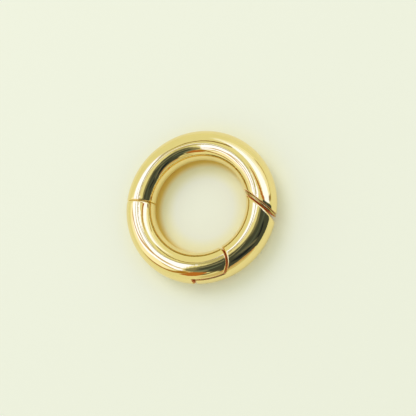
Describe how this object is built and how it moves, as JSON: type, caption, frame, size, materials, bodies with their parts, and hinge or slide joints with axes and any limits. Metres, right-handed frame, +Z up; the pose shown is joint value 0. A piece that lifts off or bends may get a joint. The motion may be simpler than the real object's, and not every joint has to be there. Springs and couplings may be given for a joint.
{
  "type": "round push clasp",
  "caption": "Hollow round-tube ring clasp lying flat, with a spring-closed hinged gate that pushes inwards to open.",
  "frame": {"origin": "middle of the ring, on the surface that it lies on", "axes": "+Z up, along the ring's axis; +X towards the slit; +Y towards the top of the ring as pictured"},
  "size_m": [0.015, 0.015, 0.0029],
  "materials": {
    "polished_gold": "mirror polished gold plate",
    "plug_gold": "satin gold plate, as cut",
    "rivet_gold": "peened and polished gold plate",
    "raw_brass": "plain drawn brass"
  },
  "bodies": {
    "ring": {"upper_tube": "polished_gold", "end_plug": "plug_gold", "lower_tube": "polished_gold", "joint_sleeve": "raw_brass", "hinge_pin": "rivet_gold"},
    "gate": {"gate": "polished_gold"}
  },
  "joints": [
    {"name": "gate_hinge", "type": "hinge", "parent": "ring", "child": "gate", "pos_m": [0.00145, -0.00562, 0.00145], "axis": [0, 0, 1], "range_deg": [0, 25], "stiffness_Nm_per_rad": 0.01, "springref_deg": -22.92}
  ]
}
